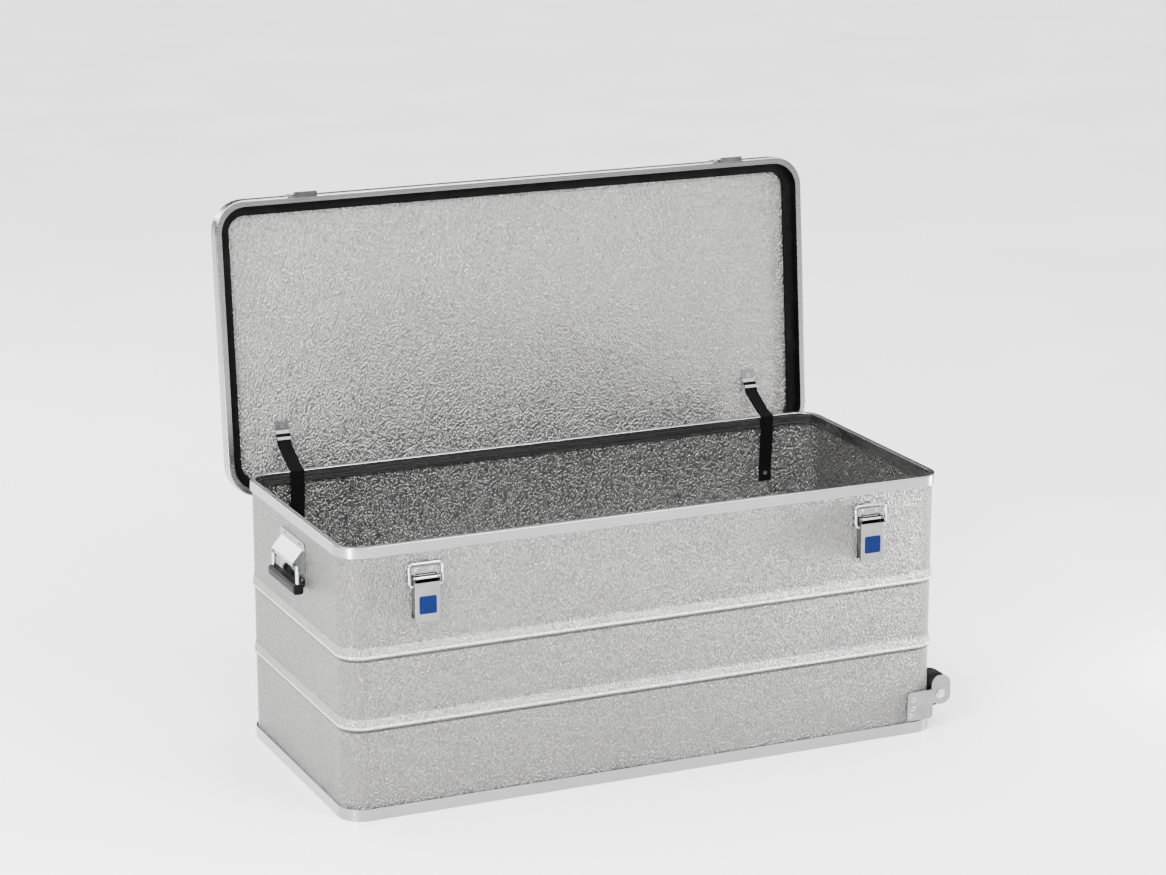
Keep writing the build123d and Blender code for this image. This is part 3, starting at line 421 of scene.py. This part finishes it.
def swept_strap(line, middle, half):
    """Vertices, faces and UVs of a flat section with thin edges, swept along the line."""
    t = STRAP_THICK / 2
    section = [(-half, 0), (-half + t, t), (half - t, t), (half, 0), (half - t, -t), (-half + t, -t)]
    verts, faces, uvs = [], [], []
    run = 0.0
    for i, point in enumerate(line):
        ahead = line[min(i + 1, len(line) - 1)]
        behind = line[max(i - 1, 0)]
        along = (ahead - behind).normalized()
        across = Vector((-along.y, along.x))
        run += (point - behind).length if i else 0.0
        for x, out in section:
            verts.append((middle + x, point.x + across.x * out, point.y + across.y * out))
            uvs.append((x, run))
    width = len(section)
    for i in range(len(line) - 1):
        for k in range(width):
            a = i * width + k
            b = i * width + (k + 1) % width
            faces.append((a, b, b + width, a + width))
    faces.append(tuple(range(width))[::-1])
    faces.append(tuple(range((len(line) - 1) * width, len(line) * width)))
    return verts, faces, uvs


def make_strap(name):
    """A flat woven strap that follows its CAD node, from the wall to the clip on the lid."""
    low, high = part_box(name)
    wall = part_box("top_rim")[1].y - RIM_PROUD - SHEET - STRAP_THICK / 2
    half = (high.x - low.x) / 2
    middle = (high.x + low.x) / 2
    verts, faces, uvs = swept_strap(strap_line(low, high, wall), middle, half)
    mesh = bpy.data.meshes.new(name + "_woven")
    mesh.from_pydata(verts, [], faces)
    layer = mesh.uv_layers.new(name="strap")
    for loop in mesh.loops:
        layer.data[loop.index].uv = uvs[loop.vertex_index]
    mesh.materials.append(MATERIALS["black_webbing"])
    strap = bpy.data.objects.new(name + "_woven", mesh)
    bpy.context.scene.collection.objects.link(strap)
    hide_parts(name)
    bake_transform(strap)


for strap_name in ("strap_left", "strap_right"):
    make_strap(strap_name)


# ---- studio ----
def floor_material():
    """Pale studio floor, a little glossy, with a faint unevenness."""
    r = Recipe("floor")
    cloud = r.noise(r.place, 1.5, detail=3.0)
    color = r.blend(cloud, (0.93, 0.93, 0.93), (0.95, 0.95, 0.95))
    return r.finish(color, r.fit(cloud, 0.3, 0.7, 0.28, 0.34), 0.0)


def make_floor(size):
    half = size / 2
    mesh = bpy.data.meshes.new("floor")
    corners = [(-half, -half, 0), (half, -half, 0), (half, half, 0), (-half, half, 0)]
    mesh.from_pydata(corners, [], [(0, 1, 2, 3)])
    mesh.materials.append(floor_material())
    floor = bpy.data.objects.new("floor", mesh)
    bpy.context.scene.collection.objects.link(floor)


def softbox(name, place, aim, width, height, power):
    """A rectangular studio light at place, turned towards aim."""
    light = bpy.data.lights.new(name, "AREA")
    light.shape = "RECTANGLE"
    light.size = width
    light.size_y = height
    light.energy = power
    lamp = bpy.data.objects.new(name, light)
    lamp.location = place
    lamp.rotation_euler = (Vector(aim) - Vector(place)).to_track_quat("-Z", "Y").to_euler()
    bpy.context.scene.collection.objects.link(lamp)


FLOOR_SIZE = 60.0
DIM_BELOW = 0.30  # height up the sky, 0 level and 1 overhead, where it starts to brighten
BRIGHT_ABOVE = 0.90
HORIZON_STRENGTH = 0.02
OVERHEAD_STRENGTH = 5.5


def make_world():
    """A surround that is dim at the horizon and bright overhead, so that metal has a slope to show."""
    world = bpy.data.worlds.new("studio")
    world.use_nodes = True
    tree = world.node_tree
    background = tree.nodes["Background"]
    background.inputs["Color"].default_value = (1.0, 1.0, 1.0, 1.0)
    place = tree.nodes.new("ShaderNodeTexCoord")
    split = tree.nodes.new("ShaderNodeSeparateXYZ")
    ramp = tree.nodes.new("ShaderNodeMapRange")
    ramp.interpolation_type = "SMOOTHSTEP"
    ramp.inputs["From Min"].default_value = DIM_BELOW
    ramp.inputs["From Max"].default_value = BRIGHT_ABOVE
    ramp.inputs["To Min"].default_value = HORIZON_STRENGTH
    ramp.inputs["To Max"].default_value = OVERHEAD_STRENGTH
    tree.links.new(place.outputs["Generated"], split.inputs["Vector"])
    tree.links.new(split.outputs["Z"], ramp.inputs["Value"])
    tree.links.new(ramp.outputs["Result"], background.inputs["Strength"])
    bpy.context.scene.world = world


make_floor(FLOOR_SIZE)
make_world()
softbox("key", (-3.6, -2.4, 3.4), (0, 0, 0.3), 1.6, 1.6, 420)
softbox("lid", (1.6, -3.4, 3.6), (0, 0.3, 0.7), 1.6, 1.0, 260)
softbox("left strip", (-1.62, -1.00, 0.28), (-0.57, -0.24, 0.26), 0.16, 0.5, 24)
softbox("right strip", (1.62, -0.34, 0.28), (0.58, -0.24, 0.26), 0.16, 0.5, 18)
softbox("back left", (-1.9, 3.6, 2.0), (-0.6, 0, 0.5), 1.6, 1.2, 110)

# ---- camera ----
# Its place and angles were fitted to the corners of the body and lid in the photograph.
SENSOR = 36.0
FOCAL = 100.8
CLIP_END = 200
CAMERA_PLACE = Vector((-2.3760, -5.2395, 2.1060))
CAMERA_YAW = math.radians(24.20)
CAMERA_PITCH = math.radians(14.99)

camera_data = bpy.data.cameras.new("camera")
camera_data.sensor_width = SENSOR
camera_data.lens = FOCAL
camera_data.clip_end = CLIP_END
camera = bpy.data.objects.new("camera", camera_data)
camera.location = CAMERA_PLACE
look = Vector(
    (
        math.sin(CAMERA_YAW) * math.cos(CAMERA_PITCH),
        math.cos(CAMERA_YAW) * math.cos(CAMERA_PITCH),
        -math.sin(CAMERA_PITCH),
    )
)
camera.rotation_euler = look.to_track_quat("-Z", "Y").to_euler()
bpy.context.scene.collection.objects.link(camera)
bpy.context.scene.camera = camera
